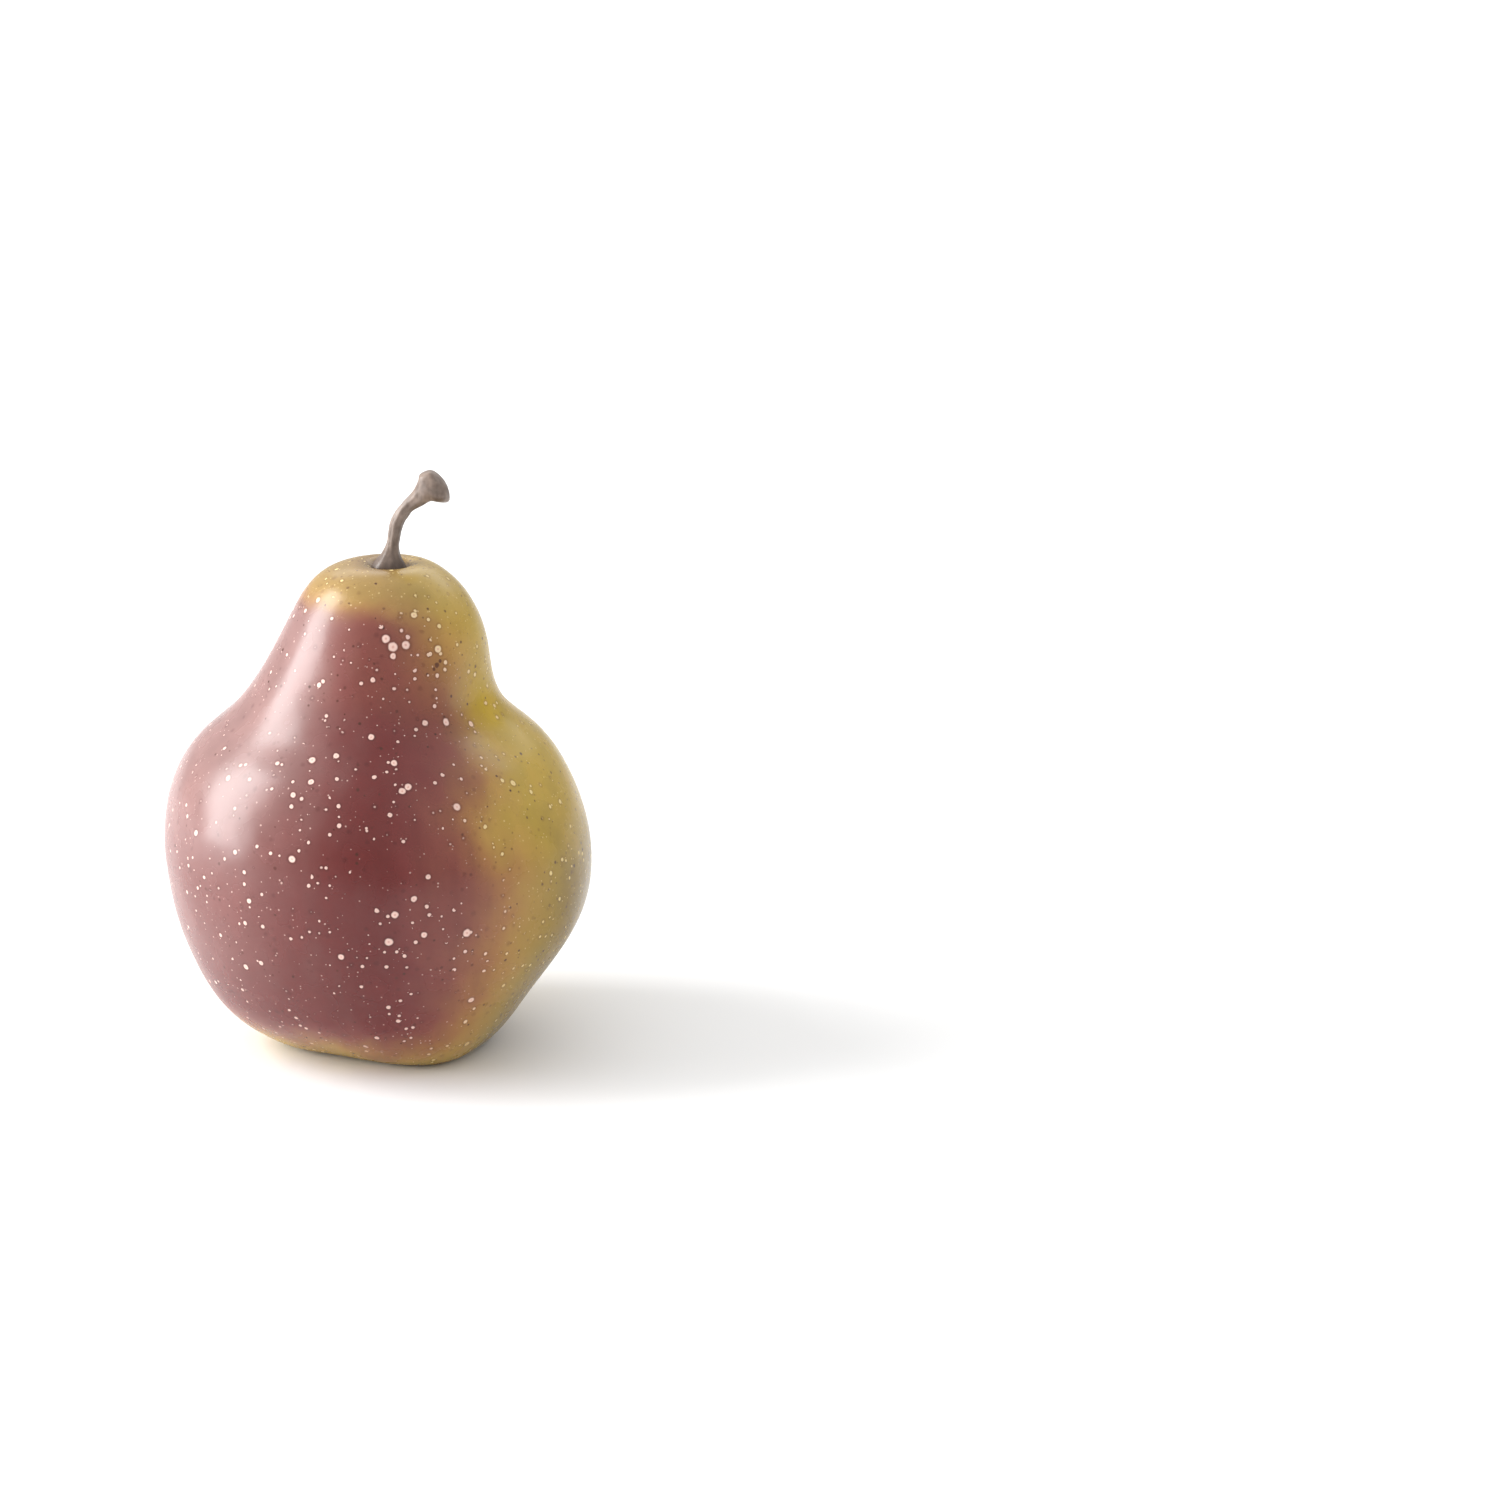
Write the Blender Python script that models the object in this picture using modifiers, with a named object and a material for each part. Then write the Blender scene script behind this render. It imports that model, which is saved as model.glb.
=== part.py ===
"""A blushed dessert pear standing on its eye end, at its real size.

Three pieces: the fruit, grown as one solid, the woody stem in the hollow on
top, and the dried calyx in the eye basin underneath. Metres, +Z up. The origin
is under the middle of the fruit, on the surface that it stands on.
"""

import math
import random

import bmesh
import bpy
import numpy as np

MM = 0.001

# The fruit from the eye basin up to the stem hollow. Each line is a height,
# the reach to the left and the reach to the right, in millimetres.
FRUIT_OUTLINE = (
    (6.5, 0.0, 0.0),  # floor of the eye basin
    (5.6, 4.0, 4.0),
    (2.6, 8.4, 8.4),  # wall of the basin
    (0.1, 11.2, 11.2),
    (-0.4, 13.0, 14.0),  # ring that the pear stands on
    (4.0, 24.5, 23.0),
    (12.5, 32.0, 29.5),
    (24.0, 36.5, 37.0),
    (36.5, 38.5, 38.5),  # belly, the widest place
    (48.0, 37.0, 35.5),
    (56.0, 32.5, 30.5),  # shoulder
    (61.0, 27.0, 25.0),
    (63.5, 24.5, 23.0),  # crease between belly and neck
    (73.5, 18.0, 20.5),  # neck
    (82.0, 13.5, 17.5),
    (87.5, 8.5, 12.5),
    (89.0, 3.0, 8.5),  # rim of the stem hollow
    (88.3, -3.1, 3.1),  # floor of the hollow, right of the belly's middle
)
DEPTH_SHARE = 0.96  # front to back, against left to right

# Broad swellings and hollows. Each is a direction in degrees (0 right, 90 back,
# 180 left, 270 front), a height, a spread in degrees, a spread in height and
# how far the skin stands out, with lengths in millimetres.
SWELLINGS = {
    "foot": (303, 1, 27, 13, 3.8),
    "hollow beside the foot": (252, 1, 36, 6, -2.0),
    "valley": (330, 60, 22, 12, -2.8),
    "back cheek": (118, 34, 34, 17, 0.6),
    "back hollow": (75, 62, 26, 11, -1.2),
}
SWELLINGS_BEGIN = 12 * MM  # nearer to the middle than this they fade out

# Low ribs round the eye basin.
EYE_RIBS = 5
EYE_RIB_RISE = 0.5 * MM
EYE_RIB_REACH = 9 * MM
EYE_RIB_TURN = math.radians(50)

FRUIT_SIDES = 64
FRUIT_RINGS = 50

# The stem, in millimetres and degrees: the middle of a section (x, y, z), its
# half width across the bend, its half width front to back, and how far the
# section is tipped to the right.
STEM_SECTIONS = (
    (2.9, 0.2, 85.2, 0.0, 0.0, 4),  # buried end
    (2.9, 0.2, 85.6, 2.2, 2.1, 4),
    (3.1, 0.0, 88.3, 3.1, 2.9, 8),  # flared foot in the stem hollow
    (3.3, -0.1, 90.2, 1.9, 1.9, 9),
    (3.7, -0.2, 92.4, 1.2, 1.25, 8),  # shank
    (4.6, -0.3, 96.5, 1.2, 1.2, 22),
    (6.7, -0.5, 99.6, 1.25, 1.25, 44),
    (8.7, -0.6, 101.3, 1.6, 1.6, 50),
    (9.8, -0.7, 102.5, 2.4, 2.2, 56),  # knob where it left the spur
    (11.3, -0.7, 103.1, 3.4, 2.8, 55),
    (12.4, -0.7, 103.5, 3.1, 2.6, 59),
    (13.0, -0.7, 103.8, 1.8, 1.6, 59),
    (13.2, -0.7, 103.9, 0.0, 0.0, 59),
)
STEM_SIDES = 20
STEM_RINGS = 34

FIT_GAP = 0.3 * MM  # between each piece and the pocket that it sits in
SOCKET_MIDDLE = (3.0 * MM, 0.1 * MM)
SOCKET_RADIUS = 3.1 * MM + FIT_GAP
SOCKET_BOTTOM = 84.9 * MM - FIT_GAP
SOCKET_TOP = 95 * MM

# The calyx: a cup that is rooted in the fruit and opens downwards.
CALYX_TOP = 7.2 * MM
CALYX_BOTTOM = 4.4 * MM
CALYX_ROOT = 2.4 * MM  # radius in the fruit
CALYX_MOUTH = 2.9 * MM  # radius at the open end
CALYX_BORE = 1.7 * MM
CALYX_WEB = 1.2 * MM
CALYX_LIP = 0.4 * MM
CUP_SIDES = 20

# Its dried leaflets, which run out from the cup and hang lower at the tip.
SEPALS = 5
SEPAL_LENGTH = 5.6 * MM
SEPAL_LENGTHS = (0.88, 1.05)  # shortest and longest, as shares of the length
SEPAL_HALF_WIDTH = 1.7 * MM
SEPAL_TIP = 0.3 * MM
SEPAL_FULLNESS = 0.8  # lower keeps the blade wide for longer
SEPAL_THICKNESS = 0.6 * MM
SEPAL_START = 2.2 * MM
SEPAL_ROOT_HEIGHT = 4.9 * MM
SEPAL_SLOPE = 0.35
SEPAL_DROOP = 1.6 * MM
SEPAL_DROOPS = (0.75, 1.1)  # least and most, as shares of the droop
SEPAL_KEEL = 0.35 * MM
SEPAL_TWIST = 14  # degrees at the tip, either way
SEPAL_UNEVEN = 0.06  # of the spacing, either way
SEPAL_STEPS = 6
SEPAL_ROWS = 4
SEPAL_SEED = 11

CUTTER_SIDES = 32
BLOCK_SIZE = 200 * MM
MERGE_WITHIN = 0.01 * MM

SKIN_COLOUR = (0.31, 0.10, 0.09, 1.0)
SKIN_ROUGHNESS = 0.35
STEM_COLOUR = (0.20, 0.13, 0.11, 1.0)
STEM_ROUGHNESS = 0.6
CALYX_COLOUR = (0.07, 0.045, 0.03, 1.0)
CALYX_ROUGHNESS = 0.85


def clear_scene():
    for thing in list(bpy.data.objects):
        bpy.data.objects.remove(thing, do_unlink=True)


def new_collection(name):
    group = bpy.data.collections.new(name)
    bpy.context.scene.collection.children.link(group)
    return group


def new_material(name, colour, roughness):
    material = bpy.data.materials.new(name)
    material.use_nodes = True
    shader = material.node_tree.nodes["Principled BSDF"]
    shader.inputs["Base Color"].default_value = colour
    shader.inputs["Roughness"].default_value = roughness
    shader.inputs["Metallic"].default_value = 0.0
    return material


def new_object(name, shape, group, material=None):
    mesh = bpy.data.meshes.new(name)
    shape.to_mesh(mesh)
    shape.free()
    mesh.shade_smooth()
    if material:
        mesh.materials.append(material)
    thing = bpy.data.objects.new(name, mesh)
    group.objects.link(thing)
    return thing


def spline(knots, values, places, level_ends):
    """Smooth curve through the values, with free ends or with level ones."""
    count = len(knots)
    steps = np.diff(knots)
    slopes = np.diff(values) / steps
    rows = np.zeros((count, count))
    sums = np.zeros(count)
    for i in range(1, count - 1):
        rows[i, i - 1 : i + 2] = steps[i - 1], 2 * (steps[i - 1] + steps[i]), steps[i]
        sums[i] = 6 * (slopes[i] - slopes[i - 1])
    rows[0, 0] = rows[-1, -1] = 1.0
    if level_ends:
        rows[0, :2] = 2 * steps[0], steps[0]
        rows[-1, -2:] = steps[-1], 2 * steps[-1]
        sums[0] = 6 * slopes[0]
        sums[-1] = -6 * slopes[-1]
    bends = np.linalg.solve(rows, sums)
    i = np.clip(np.searchsorted(knots, places, side="right") - 1, 0, count - 2)
    before = (knots[i + 1] - places) / steps[i]
    after = (places - knots[i]) / steps[i]
    curve = (before**3 - before) * bends[i] + (after**3 - after) * bends[i + 1]
    return before * values[i] + after * values[i + 1] + curve * steps[i] ** 2 / 6


def along(points):
    """How far along a line each of its points lies, from 0 to 1."""
    steps = np.linalg.norm(np.diff(points, axis=0), axis=1)
    length = np.concatenate([[0.0], np.cumsum(steps)])
    return length / length[-1]


def sphere(sides, rings):
    shape = bmesh.new()
    bmesh.ops.create_uvsphere(shape, u_segments=sides, v_segments=rings, radius=1.0)
    return shape


def sphere_places(shape):
    """Each vertex's direction round the sphere and its share of the way up."""
    points = np.array([vertex.co for vertex in shape.verts])
    turns = np.arctan2(points[:, 1], points[:, 0])
    shares = 1.0 - np.arccos(np.clip(points[:, 2], -1.0, 1.0)) / math.pi
    return turns, shares


def move_vertices(shape, points):
    for vertex, point in zip(shape.verts, points):
        vertex.co = point
    bmesh.ops.recalc_face_normals(shape, faces=shape.faces)


def swelling(turns, heights, reach):
    """How far the skin stands out from the plain outline."""
    out = np.zeros(len(turns))
    for direction, middle, spread, tall, rise in SWELLINGS.values():
        away = (turns - math.radians(direction) + math.pi) % math.tau - math.pi
        across = away / math.radians(spread)
        up = (heights - middle * MM) / (tall * MM)
        out += rise * MM * np.exp(-(across**2) - up**2)
    ribs = np.cos(EYE_RIBS * turns + EYE_RIB_TURN)
    out += EYE_RIB_RISE * ribs * np.exp(-((heights / EYE_RIB_REACH) ** 2))
    return out * np.clip(reach / SWELLINGS_BEGIN, 0.0, 1.0) ** 2


def fruit_points(turns, shares):
    outline = np.array(FRUIT_OUTLINE) * MM
    half = (outline[:, 1] + outline[:, 2]) / 2
    knots = along(np.column_stack([outline[:, 0], half]))
    heights = spline(knots, outline[:, 0], shares, True)
    left = spline(knots, outline[:, 1], shares, False)
    right = spline(knots, outline[:, 2], shares, False)
    reach = (left + right) / 2
    middle = (right - left) / 2
    out = swelling(turns, heights, reach)
    x = middle + (reach + out) * np.cos(turns)
    y = (reach * DEPTH_SHARE + out) * np.sin(turns)
    return np.column_stack([x, y, heights])


def stem_points(turns, shares):
    sections = np.array(STEM_SECTIONS)
    sections[:, :5] *= MM
    edge = sections[:, :3].copy()
    edge[:, 0] += sections[:, 3]
    knots = along(edge)
    x, y, z, across, deep, tip = (spline(knots, column, shares, False) for column in sections.T)
    sideways = np.maximum(across, 0.0) * np.cos(turns)
    backwards = np.maximum(deep, 0.0) * np.sin(turns)
    lean = np.radians(tip)
    return np.column_stack([x + sideways * np.cos(lean), y + backwards, z - sideways * np.sin(lean)])


def make_fruit(group, material):
    shape = sphere(FRUIT_SIDES, FRUIT_RINGS)
    move_vertices(shape, fruit_points(*sphere_places(shape)))
    return new_object("fruit", shape, group, material)


def make_stem(group, material):
    shape = sphere(STEM_SIDES, STEM_RINGS)
    move_vertices(shape, stem_points(*sphere_places(shape)))
    return new_object("stem", shape, group, material)


def cylinder(name, radius, bottom, top, middle, group):
    shape = bmesh.new()
    bmesh.ops.create_cone(
        shape, cap_ends=True, segments=CUTTER_SIDES, radius1=radius, radius2=radius, depth=top - bottom
    )
    thing = new_object(name, shape, group)
    thing.location = (middle[0], middle[1], (top + bottom) / 2)
    return thing


def block(name, top, group):
    """A block wider than the fruit, with its upper face at the given height."""
    shape = bmesh.new()
    bmesh.ops.create_cube(shape, size=BLOCK_SIZE)
    thing = new_object(name, shape, group)
    thing.location.z = top - BLOCK_SIZE / 2
    return thing


def cut(thing, cutter):
    cutter.hide_render = True
    cutter.display_type = "WIRE"
    modifier = thing.modifiers.new("cut by " + cutter.name, "BOOLEAN")
    modifier.operation = "DIFFERENCE"
    modifier.solver = "EXACT"
    modifier.object = cutter


def make_cup(group, material):
    profile = (
        (0.0, CALYX_TOP),
        (CALYX_ROOT, CALYX_TOP),
        (CALYX_ROOT, CALYX_BOTTOM + CALYX_WEB),
        (CALYX_MOUTH, CALYX_BOTTOM + CALYX_LIP),
        (CALYX_MOUTH, CALYX_BOTTOM),
        (CALYX_BORE, CALYX_BOTTOM),
        (CALYX_BORE, CALYX_BOTTOM + CALYX_WEB),
        (0.0, CALYX_BOTTOM + CALYX_WEB + CALYX_LIP),
    )
    shape = bmesh.new()
    corners = [shape.verts.new((x, 0.0, z)) for x, z in profile]
    for one, other in zip(corners, corners[1:]):
        shape.edges.new((one, other))
    cup = new_object("calyx", shape, group, material)
    turned = cup.modifiers.new("turned", "SCREW")
    turned.steps = turned.render_steps = CUP_SIDES
    turned.use_merge_vertices = True
    turned.merge_threshold = MERGE_WITHIN
    return cup


def make_sepal(index, chance, group):
    """One dried leaflet, of its own length, droop and twist."""
    shape = bmesh.new()
    bmesh.ops.create_grid(shape, x_segments=SEPAL_STEPS, y_segments=SEPAL_ROWS, size=1.0)
    length = SEPAL_LENGTH * chance.uniform(*SEPAL_LENGTHS)
    droop = SEPAL_DROOP * chance.uniform(*SEPAL_DROOPS)
    twist = math.radians(chance.uniform(-SEPAL_TWIST, SEPAL_TWIST))
    for vertex in shape.verts:
        out = (vertex.co.x + 1) / 2
        half = SEPAL_HALF_WIDTH * (1 - out**2) ** SEPAL_FULLNESS + SEPAL_TIP
        side = vertex.co.y * half
        drop = SEPAL_SLOPE * out * length + droop * out**2
        keel = SEPAL_KEEL * vertex.co.y**2 * (1 - out)
        vertex.co = (
            SEPAL_START + out * length,
            side * math.cos(twist * out),
            SEPAL_ROOT_HEIGHT - drop + keel + side * math.sin(twist * out),
        )
    sepal = new_object(f"sepal {index + 1}", shape, group)
    place = index + chance.uniform(-SEPAL_UNEVEN, SEPAL_UNEVEN)
    sepal.rotation_euler.z = math.tau * place / SEPALS
    blade = sepal.modifiers.new("blade", "SOLIDIFY")
    blade.thickness = SEPAL_THICKNESS
    blade.offset = 0.0
    return sepal


def join(thing, group):
    """Fuses a collection's objects into the thing and removes them."""
    modifier = thing.modifiers.new("join " + group.name, "BOOLEAN")
    modifier.operation = "UNION"
    modifier.solver = "EXACT"
    modifier.operand_type = "COLLECTION"
    modifier.collection = group
    graph = bpy.context.evaluated_depsgraph_get()
    joined = bpy.data.meshes.new_from_object(thing.evaluated_get(graph), depsgraph=graph)
    thing.modifiers.clear()
    plain = thing.data
    thing.data = joined
    bpy.data.meshes.remove(plain)
    for piece in list(group.objects):
        bpy.data.objects.remove(piece, do_unlink=True)
    bpy.data.collections.remove(group)


def make_calyx(group, material):
    cup = make_cup(group, material)
    chance = random.Random(SEPAL_SEED)
    sepals = new_collection("sepals")
    for index in range(SEPALS):
        make_sepal(index, chance, sepals)
    join(cup, sepals)
    return cup


clear_scene()
parts = new_collection("pear")
cutters = new_collection("cutters")

fruit = make_fruit(parts, new_material("pear skin", SKIN_COLOUR, SKIN_ROUGHNESS))
cut(fruit, block("ground", 0.0, cutters))
cut(fruit, cylinder("stem socket", SOCKET_RADIUS, SOCKET_BOTTOM, SOCKET_TOP, SOCKET_MIDDLE, cutters))
cut(fruit, cylinder("calyx pocket", CALYX_ROOT + FIT_GAP, 0.0, CALYX_TOP + FIT_GAP, (0.0, 0.0), cutters))

make_stem(parts, new_material("woody stem", STEM_COLOUR, STEM_ROUGHNESS))
make_calyx(parts, new_material("dried calyx", CALYX_COLOUR, CALYX_ROUGHNESS))
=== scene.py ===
import math
import random

import bmesh
import bpy
import numpy as np
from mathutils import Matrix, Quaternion, Vector, noise


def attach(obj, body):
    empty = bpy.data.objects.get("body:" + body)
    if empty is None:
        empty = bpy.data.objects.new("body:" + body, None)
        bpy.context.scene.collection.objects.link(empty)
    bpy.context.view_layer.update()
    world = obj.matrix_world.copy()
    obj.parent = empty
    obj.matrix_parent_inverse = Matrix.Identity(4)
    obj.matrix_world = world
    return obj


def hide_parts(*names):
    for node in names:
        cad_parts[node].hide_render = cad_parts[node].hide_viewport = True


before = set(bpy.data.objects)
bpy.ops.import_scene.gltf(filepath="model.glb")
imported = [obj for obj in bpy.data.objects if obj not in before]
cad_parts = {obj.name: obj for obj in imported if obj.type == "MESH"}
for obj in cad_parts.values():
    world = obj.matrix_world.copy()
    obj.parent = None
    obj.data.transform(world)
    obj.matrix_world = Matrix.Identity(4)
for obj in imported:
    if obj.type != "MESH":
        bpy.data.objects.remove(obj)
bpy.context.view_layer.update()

mm = 0.001
print("frame:", ", ".join(sorted(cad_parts)))


# camera, light and floor

photo = {"wide": 1500, "high": 1499, "lens": 135.0, "film": 36.0}
stand = {
    "camera": (67.4 * mm, -970.1 * mm, 350.7 * mm),
    "looksDown": 17.0,  # degrees
    "keyPlace": (-0.70, 0.01, 0.38),  # tall soft lamp on the left
    "keyAim": (0.0, 0.0, 0.22),
    "keySize": (0.42, 0.80),
    "keyLean": 18.0,  # degrees that its top leans back
    "keyPower": 12.0,
    "backPlace": (0.5, 2.2, 1.6),  # wide lamp that whitens the floor behind
    "backAim": (0.5, 1.6, 0.0),
    "backSize": (3.5, 1.2),
    "backPower": 18.0,
    "roomAbove": 1.0,  # brightness overhead
    "roomAround": 0.6,  # brightness at eye height
    "floorSize": 12.0,
}


def addLamp(name, place, aim, size, power, lean=0.0):
    data = bpy.data.lights.new(name, "AREA")
    data.shape = "RECTANGLE"
    data.size, data.size_y = size
    data.energy = power
    lamp = bpy.data.objects.new(name, data)
    bpy.context.scene.collection.objects.link(lamp)
    lamp.location = place
    facing = (Vector(aim) - Vector(place)).to_track_quat("-Z", "Y")
    lamp.rotation_euler = (facing @ Quaternion((0, 0, 1), math.radians(lean))).to_euler()


def addCamera():
    data = bpy.data.cameras.new("camera")
    data.lens = photo["lens"]
    data.sensor_width = photo["film"]
    camera = bpy.data.objects.new("camera", data)
    camera.location = stand["camera"]
    camera.rotation_euler = (math.radians(90 - stand["looksDown"]), 0.0, 0.0)
    bpy.context.scene.collection.objects.link(camera)
    bpy.context.scene.camera = camera


# shader helpers


def tint(code, strength=1.0):
    parts = [int(code[i : i + 2], 16) / 255 for i in (0, 2, 4)]
    return (*(strength * (c / 12.92 if c < 0.04045 else ((c + 0.055) / 1.055) ** 2.4) for c in parts), 1.0)


def put(tree, kind, feeds=None, **settings):
    node = tree.nodes.new("ShaderNode" + kind)
    for name, value in settings.items():
        setattr(node, name, value)
    for place, value in (feeds or {}).items():
        if isinstance(value, bpy.types.NodeSocket):
            tree.links.new(value, node.inputs[place])
        else:
            node.inputs[place].default_value = value
    return node


def reckon(tree, way, *values, clamp=False):
    return put(tree, "Math", dict(enumerate(values)), operation=way, use_clamp=clamp).outputs[0]


def soften(tree, value, low, high, toLow=0.0, toHigh=1.0):
    feeds = {0: value, 1: low, 2: high, 3: toLow, 4: toHigh}
    return put(tree, "MapRange", feeds, interpolation_type="SMOOTHSTEP").outputs[0]


def between(tree, share, one, other):
    return reckon(tree, "MULTIPLY_ADD", share, other - one, one)


def blendColour(tree, share, one, other, way="MIX"):
    return put(tree, "Mix", {0: share, 6: one, 7: other}, data_type="RGBA", blend_type=way).outputs[2]


def newGroup(name, takes, gives):
    tree = bpy.data.node_groups.new(name, "ShaderNodeTree")
    for label, value in takes.items():
        kind = "NodeSocketVector" if label in ("Vector", "Centre", "Stretch") else "NodeSocketFloat"
        socket = tree.interface.new_socket(label, in_out="INPUT", socket_type=kind)
        if value is not None:
            socket.default_value = value
    for label in gives:
        tree.interface.new_socket(label, in_out="OUTPUT", socket_type="NodeSocketFloat")
    return tree, tree.nodes.new("NodeGroupInput").outputs, tree.nodes.new("NodeGroupOutput").inputs


def place(tree, group, **feeds):
    node = tree.nodes.new("ShaderNodeGroup")
    node.node_tree = group
    for name, value in feeds.items():
        if isinstance(value, bpy.types.NodeSocket):
            tree.links.new(value, node.inputs[name])
        else:
            node.inputs[name].default_value = value
    return node.outputs


def newMaterial(name, roughness):
    material = bpy.data.materials.new(name)
    material.use_nodes = True
    shader = material.node_tree.nodes["Principled BSDF"]
    shader.inputs["Roughness"].default_value = roughness
    return material, material.node_tree, shader


# effects that several finishes share


def makeMottle():
    takes = {"Vector": None, "Stretch": (1, 1, 1), "Scale": 100, "Contrast": 1}
    tree, takes, gives = newGroup("mottle", takes, ["Value"])
    spread = put(tree, "VectorMath", {0: takes["Vector"], 1: takes["Stretch"]}, operation="MULTIPLY")
    cloud = put(tree, "TexNoise", {"Vector": spread.outputs[0], "Scale": takes["Scale"], "Detail": 3.0})
    away = reckon(tree, "SUBTRACT", cloud.outputs[0], 0.5)
    value = reckon(tree, "MULTIPLY_ADD", away, takes["Contrast"], 0.5, clamp=True)
    tree.links.new(value, gives["Value"])
    return tree


def makeSpecks():
    takes = {"Vector": None, "Scale": 400, "Size": 0.15, "Share": 0.5, "Soft": 0.5}
    tree, takes, gives = newGroup("specks", takes, ["Mask", "Halo", "Chance"])
    cells = put(tree, "TexVoronoi", {"Vector": takes["Vector"], "Scale": takes["Scale"]})
    chances = put(tree, "SeparateColor", {0: cells.outputs["Color"]}).outputs
    kept = reckon(tree, "LESS_THAN", chances[0], takes["Share"])
    size = reckon(tree, "MULTIPLY", takes["Size"], reckon(tree, "MULTIPLY_ADD", chances[1], 0.7, 0.3))
    inner = reckon(tree, "MULTIPLY", size, takes["Soft"])
    spot = soften(tree, cells.outputs["Distance"], inner, size, 1.0, 0.0)
    wide = soften(tree, cells.outputs["Distance"], size, reckon(tree, "MULTIPLY", size, 2.0), 1.0, 0.0)
    tree.links.new(reckon(tree, "MULTIPLY", spot, kept), gives["Mask"])
    tree.links.new(reckon(tree, "MULTIPLY", wide, kept), gives["Halo"])
    tree.links.new(chances[2], gives["Chance"])
    return tree


mottle = makeMottle()
specks = makeSpecks()


# the fruit

fruit = {
    "outline": (  # height, reach to the left, reach to the right, mm
        (6.5, 0.0, 0.0),  # floor of the eye basin
        (5.6, 4.0, 4.0),
        (2.6, 8.4, 8.4),
        (0.1, 11.2, 11.2),
        (-0.4, 13.0, 14.0),  # ring that the pear stands on
        (4.0, 24.5, 23.0),
        (12.5, 32.0, 29.5),
        (24.0, 36.5, 37.0),
        (36.5, 38.5, 38.5),  # belly
        (48.0, 37.0, 35.5),
        (56.0, 32.5, 30.5),  # shoulder
        (61.0, 27.0, 25.0),
        (63.5, 24.5, 23.0),  # crease
        (73.5, 18.0, 20.5),  # neck
        (82.0, 13.5, 17.5),
        (87.5, 8.5, 12.5),
        (89.0, 3.0, 8.5),  # rim of the stem hollow
        (88.3, -3.1, 3.1),
    ),
    "depthShare": 0.96,
    "swellings": (  # direction in degrees, height, spread in degrees, spread in height, rise, mm
        (303, 1, 27, 13, 3.8),  # foot
        (252, 1, 36, 6, -2.0),
        (330, 60, 22, 12, -2.8),  # valley under the neck
        (118, 34, 34, 17, 0.6),
        (75, 62, 26, 11, -1.2),
    ),
    "swellingsBegin": 12.0,  # mm from the middle
    "ribs": 5,
    "ribRise": 0.5,
    "ribReach": 9.0,
    "ribTurn": 50.0,
    "sides": 288,
    "rings": 256,
    "standsSoftly": 0.8,  # mm over which the underside rounds into the floor
    "standsHigh": 3.0,  # mm up to which it is set down
    "stemFoot": (3.1, 0.0),
    "grooveReach": 3.6,  # mm, dimple that the stem's foot sits in
    "grooveDepth": 0.8,
    "grooveEdge": 6,  # how steep its side is
    "lumps": ((110.0, 0.16), (340.0, 0.03)),  # how many to the metre, how far they stand out, mm
}


def spline(knots, values, spots, levelEnds):
    count = len(knots)
    steps = np.diff(knots)
    slopes = np.diff(values) / steps
    rows = np.zeros((count, count))
    sums = np.zeros(count)
    for i in range(1, count - 1):
        rows[i, i - 1 : i + 2] = steps[i - 1], 2 * (steps[i - 1] + steps[i]), steps[i]
        sums[i] = 6 * (slopes[i] - slopes[i - 1])
    rows[0, 0] = rows[-1, -1] = 1.0
    if levelEnds:
        rows[0, :2] = 2 * steps[0], steps[0]
        rows[-1, -2:] = steps[-1], 2 * steps[-1]
        sums[0], sums[-1] = 6 * slopes[0], -6 * slopes[-1]
    bends = np.linalg.solve(rows, sums)
    i = np.clip(np.searchsorted(knots, spots, side="right") - 1, 0, count - 2)
    before = (knots[i + 1] - spots) / steps[i]
    after = (spots - knots[i]) / steps[i]
    curve = (before**3 - before) * bends[i] + (after**3 - after) * bends[i + 1]
    return before * values[i] + after * values[i + 1] + curve * steps[i] ** 2 / 6


def along(points):
    length = np.concatenate([[0.0], np.cumsum(np.linalg.norm(np.diff(points, axis=0), axis=1))])
    return length / length[-1]


def roundPiece(name, sides, rings, pointsFor):  # a sheet wrapped into a closed round form
    shape = bmesh.new()
    shape.loops.layers.uv.new("OFBake")
    bmesh.ops.create_grid(shape, x_segments=sides, y_segments=rings, size=1.0, calc_uvs=True)
    flat = np.array([vertex.co for vertex in shape.verts])
    for vertex, point in zip(shape.verts, pointsFor(flat[:, 0] * math.pi, (flat[:, 1] + 1) / 2)):
        vertex.co = point
    bmesh.ops.remove_doubles(shape, verts=shape.verts, dist=0.001 * mm)
    return newPiece(name, shape)


def newPiece(name, shape):
    bmesh.ops.recalc_face_normals(shape, faces=shape.faces)
    mesh = bpy.data.meshes.new(name)
    shape.to_mesh(mesh)
    shape.free()
    mesh.shade_smooth()
    piece = bpy.data.objects.new(name, mesh)
    bpy.context.scene.collection.objects.link(piece)
    return piece


def wobble(points, layers):  # gentle unevenness, in mm
    out = np.zeros(len(points))
    for scale, rise in layers:
        out += rise * np.array([noise.noise(Vector(point) * scale * mm) for point in points])
    return out


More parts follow.
